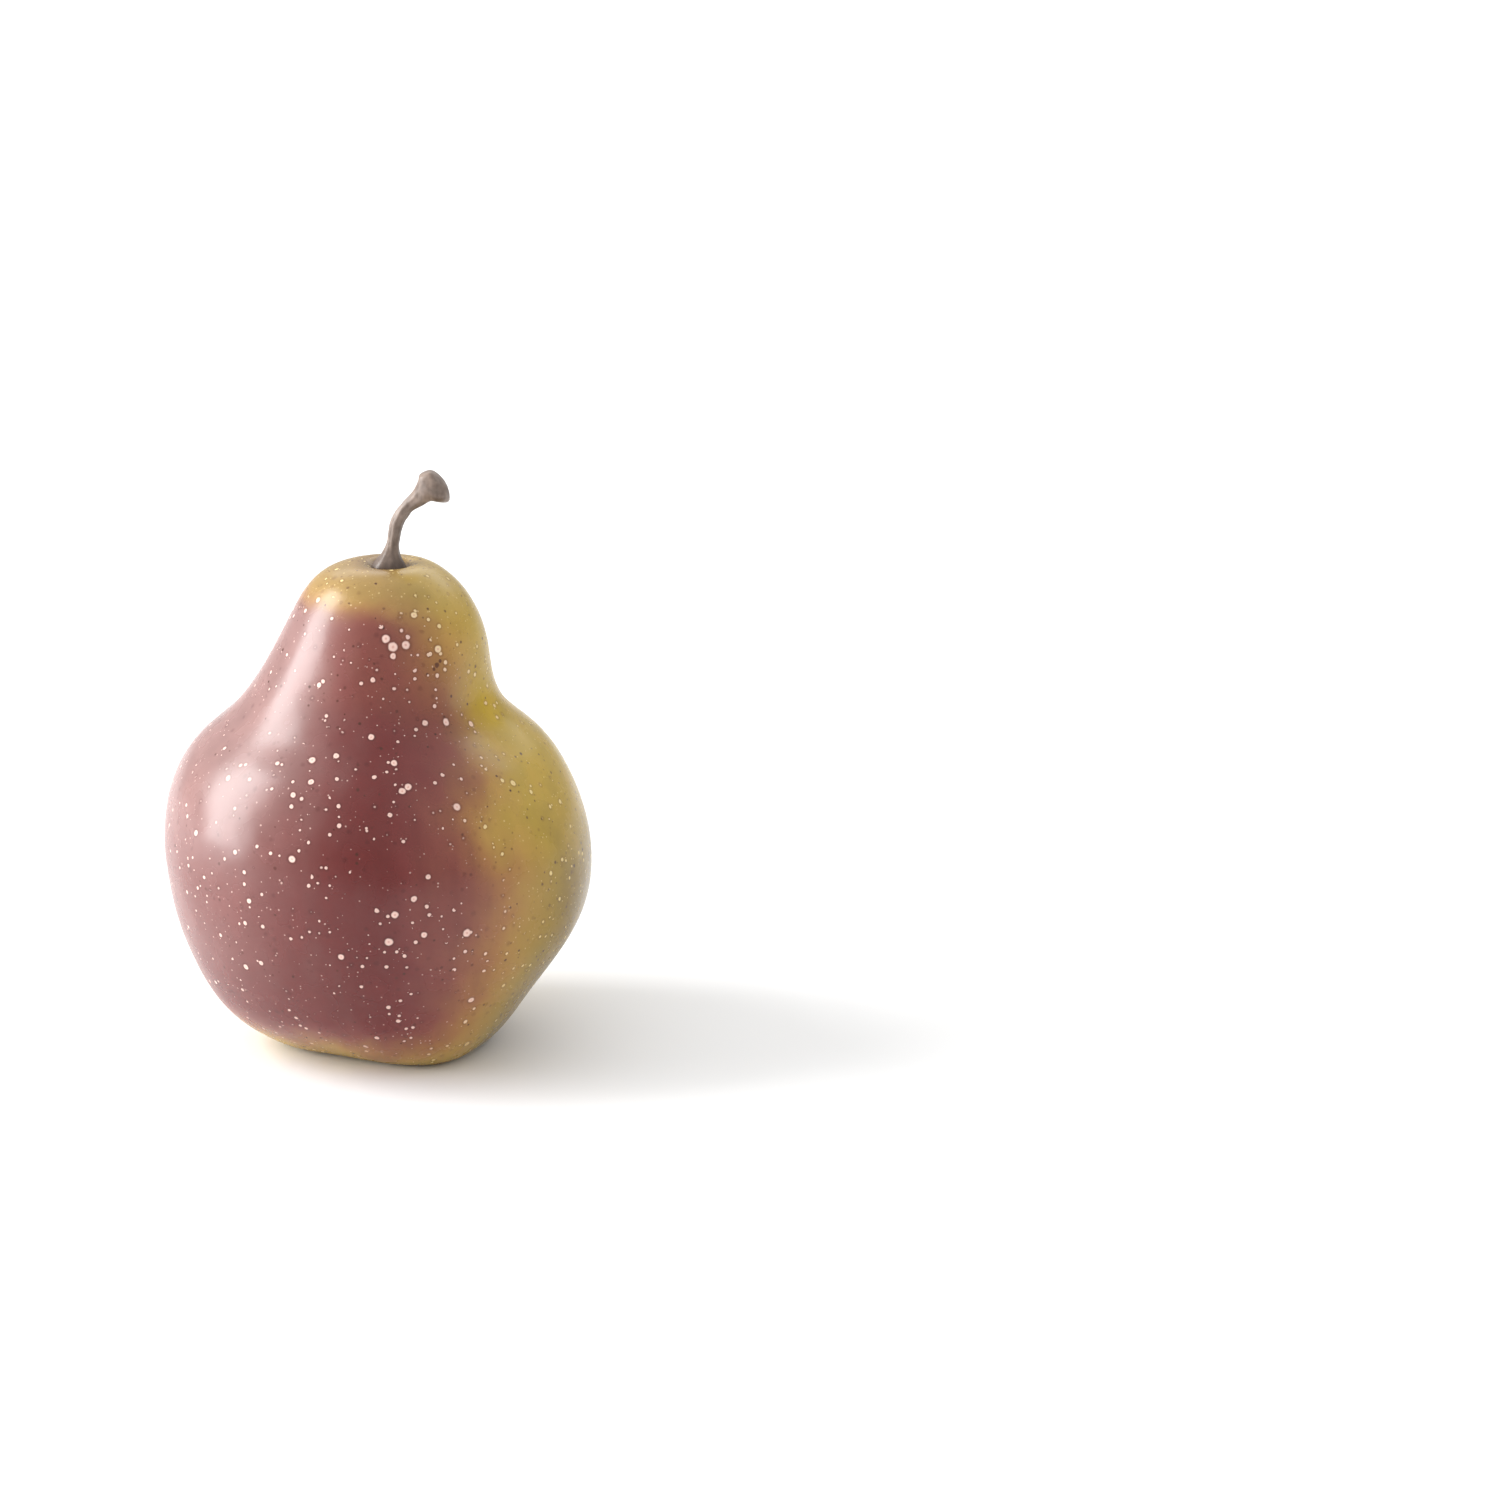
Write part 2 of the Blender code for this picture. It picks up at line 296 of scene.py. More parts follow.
def fruitPoints(turns, shares):
    outline = np.array(fruit["outline"])
    half = (outline[:, 1] + outline[:, 2]) / 2
    knots = along(np.column_stack([outline[:, 0], half]))
    heights = spline(knots, outline[:, 0], shares, True)
    left = spline(knots, outline[:, 1], shares, False)
    right = spline(knots, outline[:, 2], shares, False)
    reach = (left + right) / 2
    middle = (right - left) / 2
    out = np.zeros(len(turns))
    for direction, high, spread, tall, rise in fruit["swellings"]:
        away = (turns - math.radians(direction) + math.pi) % math.tau - math.pi
        out += rise * np.exp(-((away / math.radians(spread)) ** 2) - ((heights - high) / tall) ** 2)
    ribs = np.cos(fruit["ribs"] * turns + math.radians(fruit["ribTurn"]))
    out += fruit["ribRise"] * ribs * np.exp(-((heights / fruit["ribReach"]) ** 2))
    begins = np.clip(reach / fruit["swellingsBegin"], 0.0, 1.0)
    out *= begins**2
    x = middle + (reach + out) * np.cos(turns)
    y = (reach * fruit["depthShare"] + out) * np.sin(turns)
    bumps = wobble(np.column_stack([x, y, heights]), fruit["lumps"]) * begins
    x += bumps * np.cos(turns)
    y += bumps * np.sin(turns)
    soft = fruit["standsSoftly"]
    low = outline[:, 0].min()
    stands = (low + math.hypot(low, soft)) / 2
    setDown = stands * np.exp(-((heights / fruit["standsHigh"]) ** 2))
    z = (heights + np.hypot(heights, soft)) / 2 - setDown
    fromStem = np.hypot(x - fruit["stemFoot"][0], y - fruit["stemFoot"][1])
    dimple = fruit["grooveDepth"] * np.exp(-((fromStem / fruit["grooveReach"]) ** fruit["grooveEdge"]))
    return np.column_stack([x, y, np.maximum(z - dimple * (shares > 0.5), 0.0)]) * mm


skin = roundPiece("pearSkin", fruit["sides"], fruit["rings"], fruitPoints)
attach(skin, "root")
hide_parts("fruit")
print("skin:", len(skin.data.polygons), "faces")


# the stem

stalk = {
    "sections": (  # middle x, y, z, half width across, half width front to back, tip in degrees
        (2.9, 0.2, 85.2, 0.0, 0.0, 4),
        (2.9, 0.2, 85.6, 2.2, 2.1, 4),
        (3.1, 0.0, 88.1, 3.2, 3.0, 8),  # flared foot
        (3.3, -0.1, 90.2, 1.9, 1.9, 9),
        (3.7, -0.2, 92.4, 1.2, 1.25, 8),  # shank
        (4.6, -0.3, 96.5, 1.2, 1.2, 22),
        (6.7, -0.5, 99.6, 1.25, 1.25, 44),
        (8.7, -0.6, 101.3, 1.6, 1.6, 50),
        (9.8, -0.7, 102.5, 2.4, 2.2, 56),  # knob
        (11.3, -0.7, 103.1, 3.4, 2.8, 55),
        (12.4, -0.7, 103.5, 3.1, 2.6, 59),
        (13.0, -0.7, 103.8, 1.8, 1.6, 59),
        (13.2, -0.7, 103.9, 0.0, 0.0, 59),
    ),
    "sides": 72,
    "rings": 200,
    "ridges": 7,
    "ridgeRise": 0.04,
    "ridgeTwist": 2.2,
    "lumps": ((450.0, 0.16), (1500.0, 0.035)),
}


def stemPoints(turns, shares):
    sections = np.array(stalk["sections"])
    edge = sections[:, :3].copy()
    edge[:, 0] += sections[:, 3]
    x, y, z, across, deep, tip = (spline(along(edge), column, shares, False) for column in sections.T)
    ridges = stalk["ridgeRise"] * np.cos(stalk["ridges"] * turns + stalk["ridgeTwist"] * shares * math.tau)
    across, deep = np.maximum(across, 0.0), np.maximum(deep, 0.0)
    plain = np.column_stack([x + across * np.cos(turns), y + deep * np.sin(turns), z])
    rise = (ridges + wobble(plain, stalk["lumps"])) * np.clip(across, 0.0, 1.0)
    sideways = (across + rise) * np.cos(turns)
    lean = np.radians(tip)
    points = [x + sideways * np.cos(lean), y + (deep + rise) * np.sin(turns), z - sideways * np.sin(lean)]
    return np.column_stack(points) * mm


stem = roundPiece("woodyStem", stalk["sides"], stalk["rings"], stemPoints)
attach(stem, "root")
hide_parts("stem")
print("stem:", len(stem.data.polygons), "faces")


# the dried flower underneath

flower = {
    "cup": (  # radius and height down the cup's outside, round the lip and up the bore, mm
        (0.0, 7.2),
        (2.4, 7.2),
        (2.4, 5.6),
        (2.9, 4.8),
        (2.85, 4.4),
        (1.75, 4.4),
        (1.7, 5.6),
        (0.0, 6.0),
    ),
    "cupSides": 96,
    "cupRings": 120,
    "cupFolds": 10,
    "cupFoldRise": 0.036,
    "cupLip": 4.4,  # mm, height at which the folds are strongest
    "sepals": 5,
    "sepalSteps": (36, 20),
    "length": 5.6,
    "lengths": (0.88, 1.05),
    "halfWidth": 1.7,
    "tip": 0.3,
    "fullness": 0.8,
    "thick": 0.45,
    "start": 2.2,
    "rootHeight": 4.9,
    "slope": 0.35,
    "droop": 1.6,
    "droops": (0.75, 1.1),
    "keel": 0.35,
    "twist": 14,
    "uneven": 0.06,
    "crinkle": ((900.0, 0.30), (2600.0, 0.10)),
    "seed": 11,
    "stamens": 17,
    "stamenReach": (1.6, 2.9),  # mm, shortest and longest
    "stamenFrom": (0.5, 1.35),  # mm from the middle at the root
    "stamenLean": (0.1, 0.75),
    "stamenBend": 0.5,
    "stamenUneven": 0.3,
    "stamenSides": 8,
    "stamenThick": 0.12,  # mm, half a thread's thickness
    "stamenRoot": 5.7,
    "stamenSteps": (  # share of the length, share of the thickness
        (0.0, 1.0),
        (0.25, 0.9),
        (0.5, 0.8),
        (0.72, 0.75),
        (0.84, 1.0),
        (0.88, 2.0),  # swollen end
        (0.93, 2.6),
        (0.98, 2.2),
        (1.0, 1.2),
    ),
}


def cupPoints(turns, shares):
    profile = np.array(flower["cup"])
    reach, high = (np.interp(shares, along(profile), column) for column in profile.T)
    folds = np.cos(flower["cupFolds"] * turns) * np.exp(-((high - flower["cupLip"]) ** 2))
    reach = reach * (1.0 + flower["cupFoldRise"] * folds)
    return np.column_stack([reach * np.cos(turns), reach * np.sin(turns), high]) * mm


def addSepal(index, chance):
    shape = bmesh.new()
    longSteps, wideSteps = flower["sepalSteps"]
    bmesh.ops.create_grid(shape, x_segments=longSteps, y_segments=wideSteps, size=1.0)
    length = flower["length"] * chance.uniform(*flower["lengths"])
    droop = flower["droop"] * chance.uniform(*flower["droops"])
    twist = math.radians(chance.uniform(-flower["twist"], flower["twist"]))
    for vertex in shape.verts:
        out = (vertex.co.x + 1) / 2
        side = vertex.co.y * (flower["halfWidth"] * (1 - out**2) ** flower["fullness"] + flower["tip"])
        drop = flower["slope"] * out * length + droop * out**2
        keel = flower["keel"] * vertex.co.y**2 * (1 - out)
        spot = Vector((out * length, side, index * 20.0))
        crease = sum(rise * noise.noise(spot * scale * mm) for scale, rise in flower["crinkle"])
        high = flower["rootHeight"] - drop + keel + side * math.sin(twist * out) + crease * out
        vertex.co = Vector((flower["start"] + out * length, side * math.cos(twist * out), high)) * mm
    sepal = newPiece(f"sepal{index + 1}", shape)
    swing = chance.uniform(-flower["uneven"], flower["uneven"])
    sepal.rotation_euler.z = math.tau * (index + swing) / flower["sepals"]
    blade = sepal.modifiers.new("blade", "SOLIDIFY")
    blade.thickness = flower["thick"] * mm
    blade.offset = 0.0
    return sepal


def addStamens():
    chance = random.Random(flower["seed"] + 1)
    shape = bmesh.new()
    sides = flower["stamenSides"]
    for index in range(flower["stamens"]):
        uneven = chance.uniform(-flower["stamenUneven"], flower["stamenUneven"])
        turn = math.tau * (index + uneven) / flower["stamens"]
        root = chance.uniform(*flower["stamenFrom"])
        reach = chance.uniform(*flower["stamenReach"])
        lean = chance.uniform(*flower["stamenLean"])
        bend = chance.uniform(-flower["stamenBend"], flower["stamenBend"])
        loops = []
        for share, thick in flower["stamenSteps"]:
            out = root + lean * reach * share**1.6
            swing = turn + bend * share**2 / max(out, 0.6)
            high = flower["stamenRoot"] - reach * share
            centre = Vector((out * math.cos(swing), out * math.sin(swing), high))
            ring = []
            for corner in range(sides):
                angle = math.tau * corner / sides
                around = Vector((math.cos(angle), math.sin(angle), 0.0)) * flower["stamenThick"] * thick
                ring.append(shape.verts.new((centre + around) * mm))
            if loops:
                for corner in range(sides):
                    after = (corner + 1) % sides
                    shape.faces.new((loops[-1][corner], loops[-1][after], ring[after], ring[corner]))
            loops.append(ring)
        shape.faces.new(loops[0])
        shape.faces.new(loops[-1])
    return newPiece("stamens", shape)


cup = roundPiece("calyxCup", flower["cupSides"], flower["cupRings"], cupPoints)
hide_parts("calyx")
sepalChance = random.Random(flower["seed"])
calyxPieces = [cup, *(addSepal(index, sepalChance) for index in range(flower["sepals"])), addStamens()]
for piece in calyxPieces:
    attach(piece, "root")
print("calyx:", len(calyxPieces), "pieces")


# the skin's finish

peel = {
    "ripening": (  # from the shaded side to the sunny side
        (0.00, "b3953b"),
        (0.20, "ad8645"),
        (0.38, "9b6c3f"),
        (0.55, "89553c"),
        (0.72, "7c4238"),
        (0.88, "6e302d"),
        (1.00, "63211f"),
    ),
    "roseAndSheen": "8a6965",  # dusty rose high on the left: partly blush, partly painted sheen from the lamp on that side
    "roseTurn": (6.0, -52.0),  # degrees from the front
    "roseBack": (-174.0, -135.0),  # where it begins at the back
    "roseHigh": (34.0, 58.0, 0.45),  # mm, and its share lower down
    "roseLow": (8.0, 26.0, 0.15),
    "oliveShade": "80651a",  # the skin's olive, darkened low on the right, away from the lamp: painted shade
    "oliveTurn": (34.0, 72.0),
    "backTurn": (105.0, 160.0),  # degrees over which the right side's colours end at the back
    "oliveHigh": (52.0, 30.0),
    "goldAndShade": "b3951c",  # deeper yellow in the valley under the neck: partly the skin's colour, partly painted shade of the crease
    "goldTurn": 74.0,
    "goldHigh": 64.0,
    "goldSpread": (26.0, 10.5),
    "crown": "957948",
    "crownLight": "bc9f55",
    "crownTurn": (15.0, 70.0),
    "crownHigh": (80.0, 88.0),
    # russet, also used for the painted shade round the stem hollow
    "russetAndShade": "6b4a2a",
    "sunnyRight": (4.0, 64.0),  # degrees over which the blush fades
    "sunnyLeft": (-165.0, -60.0),
    "sunnyNeck": (60.0, 72.0, 0.22),  # mm over which the blush pales, and by how much
    "sunnyTop": (80.0, 88.0),
    "sunnyBase": (-2.0, 14.0),
    "neckWash": (66.0, 10.0),  # mm, height and spread where the blush fades more slowly
    "neckLag": 14.0,  # degrees
    "neckStretch": 1.25,
    "shoulderPull": (7.0, 50.0, 8.0),  # degrees, height and spread of a bare patch
    "eyeRusset": (5.0, 13.0),  # mm from the middle of the eye
    "eyeHigh": (8.0, 14.0),
    "stemRusset": (3.2, 5.0),  # mm from the middle of the stem's foot
    "stemRussetAndShade": (4.0, 9.0, 0.52),  # a ring of painted shade further out round the stem hollow, in mm from the middle of the stem's foot, and how strong
    "stemRussetAndShadeHigh": (70.0, 80.0),
    "cloudScales": (45.0, 160.0, 230.0),  # large clouds, small clouds and streaks
    "turnSway": (30.0, 16.0),  # degrees, by the large clouds and by the streaks
    "highSway": (8.0, 5.0),  # mm, by the large and by the small clouds
    "blushSway": 0.22,
    "mottling": (0.34, 0.30),  # by the small clouds and by the streaks
    "jitter": 0.28,  # mm that the specks' outlines are shaken
    "darkSpecks": {"Scale": 760.0, "Size": 0.33, "Soft": 0.5},
    "smallSpecks": {"Scale": 600.0, "Size": 0.29, "Soft": 0.7},
    "tinySpecks": {"Scale": 1250.0, "Size": 0.27, "Soft": 0.5},
    "darkShare": (0.52, 0.18),  # how full of them bare and blushed skin is
    "smallShare": (0.1, 0.9),  # outside and inside clusters
    "tinyShare": (0.6, 0.3),
    "palePink": "e8c4b8",
    "paleCore": "c98f80",
    "paleCream": "e7cf90",
    "darkSpeck": "4a2318",
    "halo": "b09090",
    "roughness": 0.27,
}

bigSpots = (  # largest pale spots: pixels across and down the photograph, and width in mm
    (386, 639, 1.5),
    (393, 647, 1.7),
    (406, 645, 1.5),
    (393, 656, 1.1),
    (438, 649, 1.3),
    (430, 654, 0.8),
    (414, 615, 1.1),
    (318, 600, 1.1),
    (373, 680, 0.9),
    (319, 685, 0.9),
    (446, 722, 1.4),
    (425, 723, 1.1),
    (471, 724, 1.2),
    (371, 737, 1.1),
    (312, 760, 1.3),
    (336, 756, 1.1),
    (311, 782, 1.1),
    (394, 763, 1.2),
    (408, 787, 1.3),
    (402, 791, 1.3),
    (293, 795, 1.0),
    (390, 815, 0.9),
    (457, 807, 1.4),
    (513, 783, 1.2),
    (292, 859, 1.3),
    (196, 833, 1.1),
    (228, 778, 1.1),
    (395, 915, 1.3),
    (389, 942, 1.5),
    (467, 933, 1.5),
    (424, 935, 1.1),
    (249, 901, 1.0),
    (261, 963, 1.0),
    (246, 967, 1.1),
    (341, 957, 1.2),
    (414, 899, 1.1),
    (428, 877, 1.0),
    (471, 1000, 1.2),
    (467, 1044, 1.1),
    (377, 1038, 0.9),
)

scratch = ((434, 669, 0.7), (437, 665, 1.0), (440, 661, 0.7))  # small dark mark beside the neck, alike

spotEdges = {"pale": (0.36, 0.56), "halo": (0.5, 0.95), "core": (0.06, 0.2)}  # shares of a spot's width


def onSkin(across, down):  # the place on the skin that a pixel of the photograph shows
    tall = photo["lens"] / photo["film"] * photo["wide"]
    camera = bpy.context.scene.camera
    look = Vector((across - photo["wide"] / 2, photo["high"] / 2 - down, -tall))
    aim = (camera.rotation_euler.to_matrix() @ look).normalized()
    found, spot, *rest = skin.ray_cast(camera.location, aim)
    assert found, f"no skin at {across}, {down}"
    return spot


def makeSpot():
    takes = {"Vector": None, "Centre": (0, 0, 0), "Width": 1.0 * mm}
    tree, takes, gives = newGroup("spot", takes, ["Mask", "Halo", "Core"])
    ends = {0: takes["Vector"], 1: takes["Centre"]}
    away = put(tree, "VectorMath", ends, operation="DISTANCE").outputs["Value"]
    share = reckon(tree, "DIVIDE", away, takes["Width"])
    tree.links.new(soften(tree, share, *spotEdges["pale"], 1.0, 0.0), gives["Mask"])
    tree.links.new(soften(tree, share, *spotEdges["halo"], 1.0, 0.0), gives["Halo"])
    tree.links.new(soften(tree, share, *spotEdges["core"], 0.7, 0.0), gives["Core"])
    return tree


def hump(tree, value, middle, spread):
    away = reckon(tree, "DIVIDE", reckon(tree, "SUBTRACT", value, middle), spread)
    return reckon(tree, "EXPONENT", reckon(tree, "MULTIPLY", reckon(tree, "MULTIPLY", away, away), -1.0))


def skinFinish():
    material, tree, shader = newMaterial("pearSkin", peel["roughness"])
    point = put(tree, "TexCoord").outputs["Object"]
    x, y, z = put(tree, "SeparateXYZ", {0: point}).outputs
    broadScale, cloudScale, streakScale = peel["cloudScales"]
    broad = place(tree, mottle, Vector=point, Scale=broadScale)["Value"]
    cloudy = place(tree, mottle, Vector=point, Scale=cloudScale)["Value"]
    streaks = place(tree, mottle, Vector=point, Scale=streakScale, Stretch=(1, 1, 0.1))["Value"]

    def sway(value, cloud, much):
        return reckon(tree, "MULTIPLY_ADD", reckon(tree, "SUBTRACT", cloud, 0.5), much, value)

    def both(one, other):
        return reckon(tree, "MULTIPLY", one, other)

    def within(value, low, high, toLow=0.0, toHigh=1.0):  # value in metres, limits in mm
        return soften(tree, value, low * mm, high * mm, toLow, toHigh)

    # degrees from the front, rightwards, with a wavering edge
    angle = reckon(tree, "ARCTAN2", x, reckon(tree, "MULTIPLY", y, -1.0))
    byCloud, byStreak = peel["turnSway"]
    turn = sway(sway(reckon(tree, "MULTIPLY", angle, 180 / math.pi), broad, byCloud), streaks, byStreak)
    byBroad, byCloud = peel["highSway"]
    high = sway(sway(reckon(tree, "MULTIPLY", z, 1 / mm), broad, byBroad), cloudy, byCloud)
    neck = hump(tree, high, *peel["neckWash"])
    start, end = peel["sunnyRight"]
    pull, pullHigh, pullSpread = peel["shoulderPull"]
    past = reckon(tree, "MULTIPLY_ADD", neck, peel["neckLag"], reckon(tree, "SUBTRACT", turn, start))
    past = reckon(tree, "MULTIPLY_ADD", hump(tree, high, pullHigh, pullSpread), pull, past)
    stretch = reckon(tree, "MULTIPLY_ADD", neck, peel["neckStretch"], 1.0)
    right = soften(tree, reckon(tree, "DIVIDE", past, stretch), 0.0, end - start, 1.0, 0.0)
    left = soften(tree, turn, *peel["sunnyLeft"])
    paleLow, paleHigh, paleShare = peel["sunnyNeck"]
    top = soften(tree, high, paleLow, paleHigh, 1.0, 1.0 - paleShare)
    top = both(top, soften(tree, high, *peel["sunnyTop"], 1.0, 0.15))
    base = soften(tree, high, *peel["sunnyBase"])
    blush = both(both(right, left), both(top, base))
    blush = sway(sway(blush, cloudy, peel["blushSway"]), streaks, peel["blushSway"])
    blush = put(tree, "Clamp", {0: blush}).outputs[0]

    ramp = put(tree, "ValToRGB", {0: blush})
    stops = ramp.color_ramp.elements
    while len(stops) < len(peel["ripening"]):
        stops.new(1.0)
    for stop, (share, code) in zip(stops, peel["ripening"]):
        stop.position = share
        stop.color = tint(code)
    colour = ramp.outputs["Color"]

    bare = reckon(tree, "SUBTRACT", 1.0, blush)
    # dusty rose high on the left: partly blush, partly painted sheen from the lamp on that side
    low, full, share = peel["roseHigh"]
    rosyAndSheen = both(soften(tree, turn, *peel["roseTurn"]), soften(tree, high, low, full, share, 1.0))
    low, full, share = peel["roseLow"]
    rosyAndSheen = both(rosyAndSheen, soften(tree, high, low, full, share, 1.0))
    rosyAndSheen = both(rosyAndSheen, soften(tree, turn, *peel["roseBack"]))
    colour = blendColour(tree, both(rosyAndSheen, soften(tree, blush, 0.0, 0.8)), colour, tint(peel["roseAndSheen"]))
    # olive darkened low on the right, away from the lamp: painted shade
    dark = both(soften(tree, turn, *peel["oliveTurn"]), soften(tree, high, *peel["oliveHigh"]))
    front = soften(tree, turn, *peel["backTurn"], 1.0, 0.0)
    colour = blendColour(tree, both(dark, front), colour, tint(peel["oliveShade"]))
    lighter = both(soften(tree, turn, *peel["crownTurn"]), front)
    crown = blendColour(tree, lighter, tint(peel["crown"]), tint(peel["crownLight"]))
    colour = blendColour(tree, both(soften(tree, high, *peel["crownHigh"]), bare), colour, crown)
    # deeper yellow in the valley under the neck: partly the skin's colour, partly painted shade of the
    # crease
    goldWide, goldTall = peel["goldSpread"]
    goldAndShade = both(hump(tree, turn, peel["goldTurn"], goldWide), hump(tree, high, peel["goldHigh"], goldTall))
    colour = blendColour(tree, both(goldAndShade, soften(tree, bare, 0.2, 0.8)), colour, tint(peel["goldAndShade"]))

    # russet in the eye basin and round the stem, and a ring of painted shade round the stem hollow
    flat = put(tree, "VectorMath", {0: point, 1: (1, 1, 0)}, operation="MULTIPLY").outputs[0]
    fromEye = put(tree, "VectorMath", {0: flat}, operation="LENGTH").outputs["Value"]
    eye = both(within(fromEye, *peel["eyeRusset"], 1.0, 0.0), within(z, *peel["eyeHigh"], 1.0, 0.0))
    foot = (fruit["stemFoot"][0] * mm, fruit["stemFoot"][1] * mm, 0.0)
    fromStem = put(tree, "VectorMath", {0: flat, 1: foot}, operation="DISTANCE").outputs["Value"]
    # a ring of painted shade round the rim of the stem hollow, in the russet colour
    ring = within(fromStem, *peel["stemRussetAndShade"], 0.0)
    ring = reckon(tree, "MAXIMUM", ring, within(fromStem, *peel["stemRusset"], 1.0, 0.0))
    stemRussetAndShade = both(ring, within(z, *peel["stemRussetAndShadeHigh"]))
    russetAndShade = both(reckon(tree, "MAXIMUM", eye, stemRussetAndShade), soften(tree, cloudy, 0.2, 0.7, 0.45, 1.0))
    colour = blendColour(tree, russetAndShade, colour, tint(peel["russetAndShade"]))

    # slight mottling
    byCloud, byStreak = peel["mottling"]
    shade = sway(sway(1.0, cloudy, byCloud), streaks, byStreak)
    colour = put(tree, "VectorMath", {0: colour, 3: shade}, operation="SCALE").outputs[0]

    # dark specks, then pale ones, thickest in clusters
    wavy = put(tree, "TexNoise", {"Vector": point, "Scale": 900.0, "Detail": 1.0}).outputs["Color"]
    jitter = (peel["jitter"] * mm,) * 3
    shaken = put(tree, "VectorMath", {0: wavy, 1: jitter, 2: point}, operation="MULTIPLY_ADD").outputs[0]
    shift = Vector(jitter) / 2  # what the shaking adds on average
    clusters = place(tree, mottle, Vector=point, Scale=95.0, Contrast=3.0)["Value"]
    sunny = soften(tree, blush, 0.1, 0.6)
    darkShare = between(tree, sunny, *peel["darkShare"])
    dark = place(tree, specks, Vector=shaken, Share=darkShare, **peel["darkSpecks"])
    darkness = both(dark["Mask"], soften(tree, dark["Chance"], 0.0, 1.0, 0.5, 1.0))
    spot = makeSpot()
    for across, down, width in scratch:
        one = place(tree, spot, Vector=shaken, Centre=onSkin(across, down) + shift, Width=width * mm)
        darkness = reckon(tree, "MAXIMUM", darkness, both(one["Mask"], 0.8))
    colour = blendColour(tree, darkness, colour, tint(peel["darkSpeck"]))
    smallShare = between(tree, clusters, *peel["smallShare"])
    small = place(tree, specks, Vector=shaken, Share=smallShare, **peel["smallSpecks"])
    tinyShare = between(tree, sunny, *peel["tinyShare"])
    tiny = place(tree, specks, Vector=shaken, Share=tinyShare, **peel["tinySpecks"])
    paleMask = reckon(tree, "MAXIMUM", both(small["Mask"], 0.92), both(tiny["Mask"], 0.55))
    haloMask = both(small["Halo"], 0.4)
    coreMask = 0.0
    for across, down, width in bigSpots:
        one = place(tree, spot, Vector=shaken, Centre=onSkin(across, down) + shift, Width=width * mm)
        paleMask = reckon(tree, "MAXIMUM", paleMask, one["Mask"])
        haloMask = reckon(tree, "MAXIMUM", haloMask, both(one["Halo"], 0.5))
        coreMask = reckon(tree, "MAXIMUM", coreMask, one["Core"])
    dimmed = blendColour(tree, 1.0, colour, tint(peel["halo"]), "MULTIPLY")
    colour = blendColour(tree, haloMask, colour, dimmed)
    pale = blendColour(tree, sunny, tint(peel["paleCream"]), tint(peel["palePink"]))
    pale = blendColour(tree, coreMask, pale, tint(peel["paleCore"]))
    colour = blendColour(tree, paleMask, colour, pale)
    tree.links.new(colour, shader.inputs["Base Color"])

    # waxy gloss, duller on the spots
    dulled = reckon(tree, "MULTIPLY_ADD", cloudy, 0.08, peel["roughness"] - 0.04)
    tree.links.new(reckon(tree, "MULTIPLY_ADD", paleMask, 0.2, dulled), shader.inputs["Roughness"])
    shader.inputs["IOR"].default_value = 1.45
    pores = put(tree, "TexNoise", {"Vector": point, "Scale": 2200.0, "Detail": 2.0}).outputs[0]
    lift = reckon(tree, "MULTIPLY_ADD", paleMask, 0.8, both(pores, 0.35))
    bump = put(tree, "Bump", {"Strength": 0.6, "Distance": 0.02 * mm, "Height": lift})
    tree.links.new(bump.outputs[0], shader.inputs["Normal"])
    return material


# the stem's and the calyx's finish

bark = {"light": "8e7c70", "dark": "5c4c42", "foot": "46362c", "roughness": 0.45}
husk = {"light": "6d5437", "dark": "2a1c12", "roughness": 0.85}


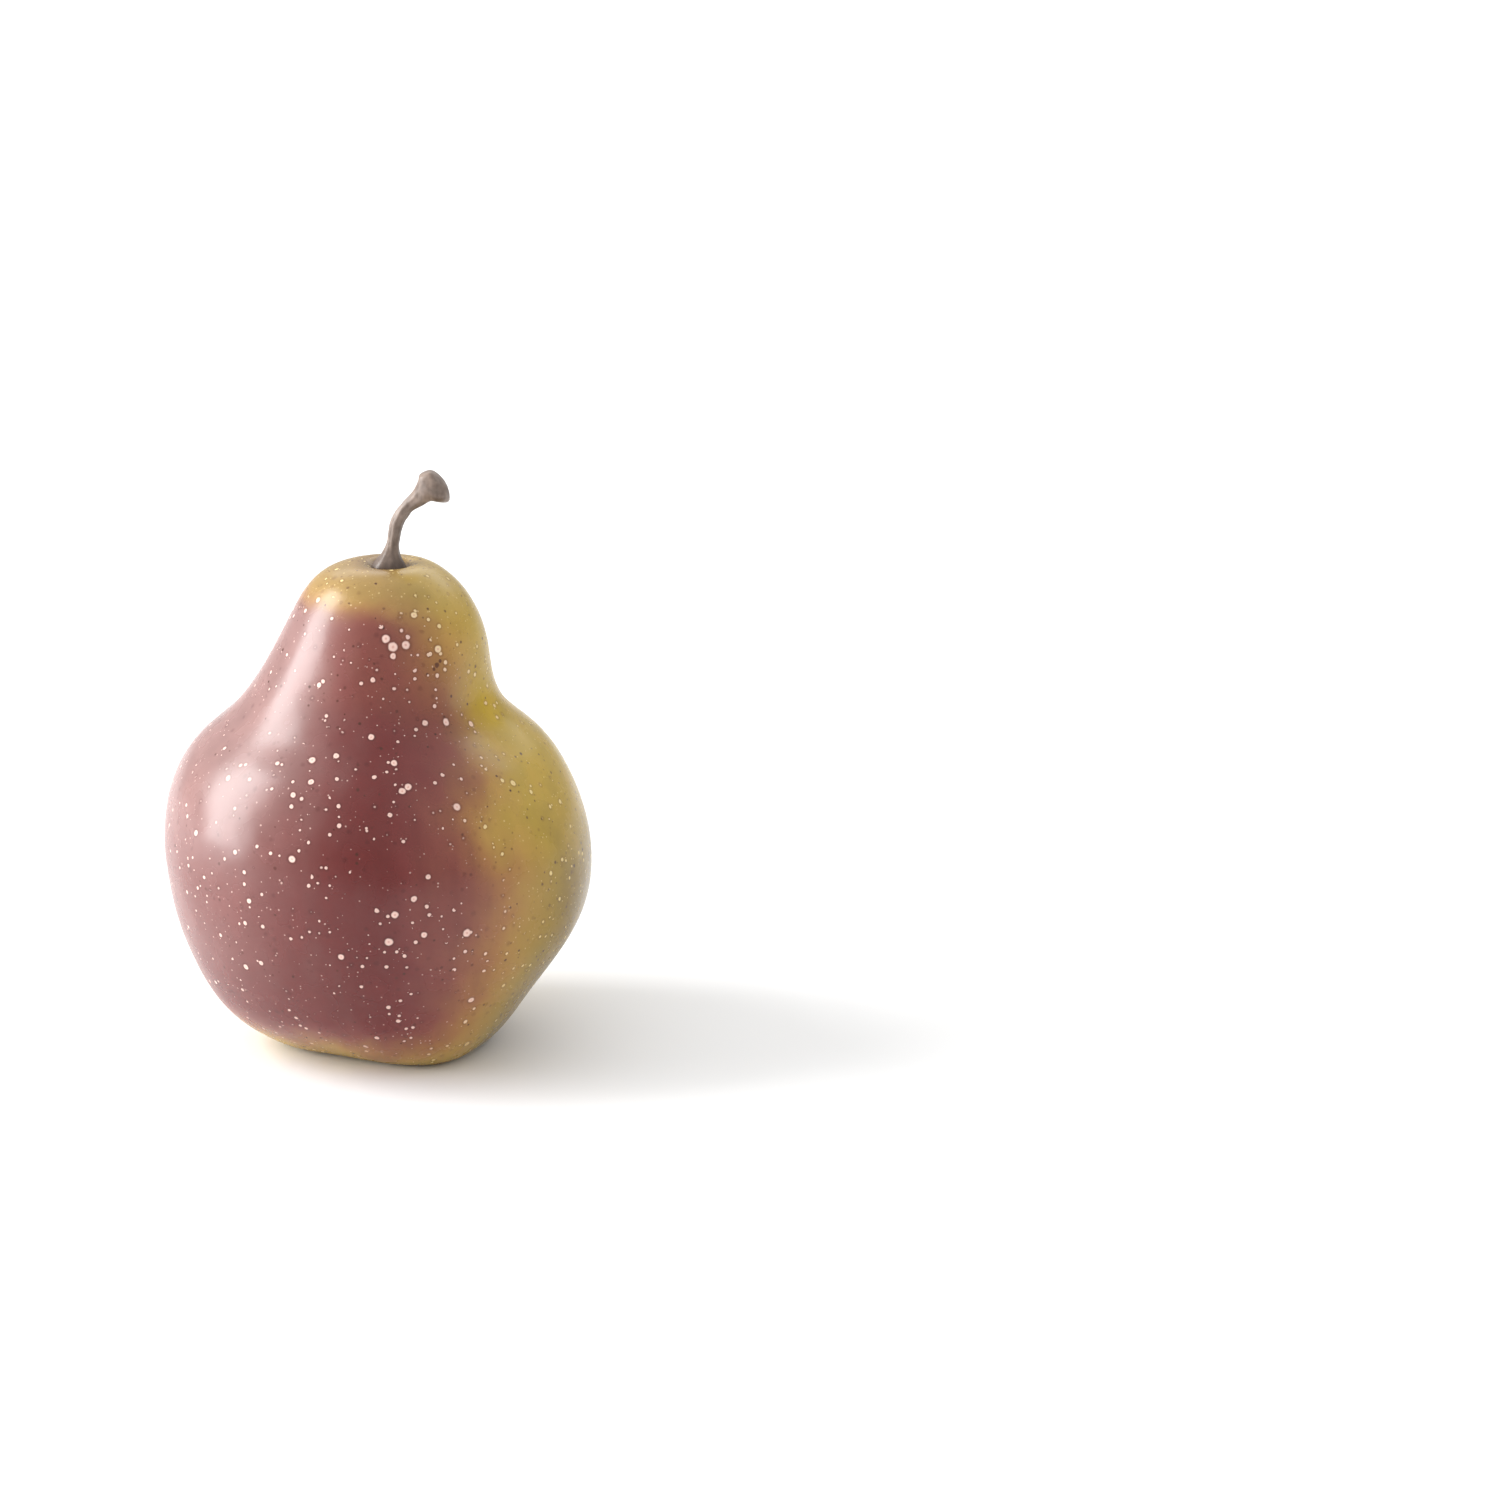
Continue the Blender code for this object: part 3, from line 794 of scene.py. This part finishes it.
def barkFinish():
    material, tree, shader = newMaterial("woodyStem", bark["roughness"])
    point = put(tree, "TexCoord").outputs["Object"]
    z = put(tree, "SeparateXYZ", {0: point}).outputs[2]
    patches = place(tree, mottle, Vector=point, Scale=420.0, Contrast=2.2)["Value"]
    fibres = place(tree, mottle, Vector=point, Scale=1500.0, Stretch=(1, 1, 0.2), Contrast=2.0)["Value"]
    colour = blendColour(tree, patches, tint(bark["dark"]), tint(bark["light"]))
    lower = soften(tree, z, 88.0 * mm, 93.0 * mm, 0.8, 0.0)
    colour = blendColour(tree, lower, colour, tint(bark["foot"]))
    shade = reckon(tree, "MULTIPLY_ADD", fibres, 0.4, 0.8)
    colour = put(tree, "VectorMath", {0: colour, 3: shade}, operation="SCALE").outputs[0]
    tree.links.new(colour, shader.inputs["Base Color"])
    dulled = reckon(tree, "MULTIPLY_ADD", patches, -0.15, bark["roughness"] + 0.07)
    tree.links.new(dulled, shader.inputs["Roughness"])
    lift = reckon(tree, "ADD", fibres, reckon(tree, "MULTIPLY", patches, 1.5))
    bump = put(tree, "Bump", {"Strength": 0.5, "Distance": 0.05 * mm, "Height": lift})
    tree.links.new(bump.outputs[0], shader.inputs["Normal"])
    return material


def huskFinish():
    material, tree, shader = newMaterial("driedCalyx", husk["roughness"])
    point = put(tree, "TexCoord").outputs["Object"]
    patches = place(tree, mottle, Vector=point, Scale=700.0, Contrast=2.4)["Value"]
    grain = place(tree, mottle, Vector=point, Scale=3200.0, Contrast=2.0)["Value"]
    colour = blendColour(tree, patches, tint(husk["dark"]), tint(husk["light"]))
    shade = reckon(tree, "MULTIPLY_ADD", grain, 0.5, 0.75)
    colour = put(tree, "VectorMath", {0: colour, 3: shade}, operation="SCALE").outputs[0]
    tree.links.new(colour, shader.inputs["Base Color"])
    bump = put(tree, "Bump", {"Strength": 0.7, "Distance": 0.06 * mm, "Height": grain})
    tree.links.new(bump.outputs[0], shader.inputs["Normal"])
    return material


def plainFinish(name, code, roughness):
    material, tree, shader = newMaterial(name, roughness)
    shader.inputs["Base Color"].default_value = tint(code)
    return material


addCamera()
bpy.context.view_layer.update()
skin.data.materials.append(skinFinish())
stem.data.materials.append(barkFinish())
calyxFinish = huskFinish()
for piece in calyxPieces:
    piece.data.materials.append(calyxFinish)
print("finishes done")


# floor, lamps and room

floorMesh = bmesh.new()
bmesh.ops.create_grid(floorMesh, x_segments=1, y_segments=1, size=stand["floorSize"] / 2)
floor = newPiece("floor", floorMesh)
floor.data.materials.append(plainFinish("floor", "f2f2f2", 0.9))

addLamp("key", stand["keyPlace"], stand["keyAim"], stand["keySize"], stand["keyPower"], stand["keyLean"])
addLamp("back", stand["backPlace"], stand["backAim"], stand["backSize"], stand["backPower"])
world = bpy.data.worlds.new("room")
world.use_nodes = True
room = world.node_tree
sky = room.nodes["Background"]
height = put(room, "SeparateXYZ", {0: put(room, "TexCoord").outputs["Generated"]}).outputs[2]
glow = soften(room, height, 0.0, 0.8, stand["roomAround"], stand["roomAbove"])
room.links.new(glow, sky.inputs["Strength"])
sky.inputs["Color"].default_value = (1.0, 1.0, 1.0, 1.0)
bpy.context.scene.world = world
bpy.context.scene.view_settings.view_transform = "Standard"
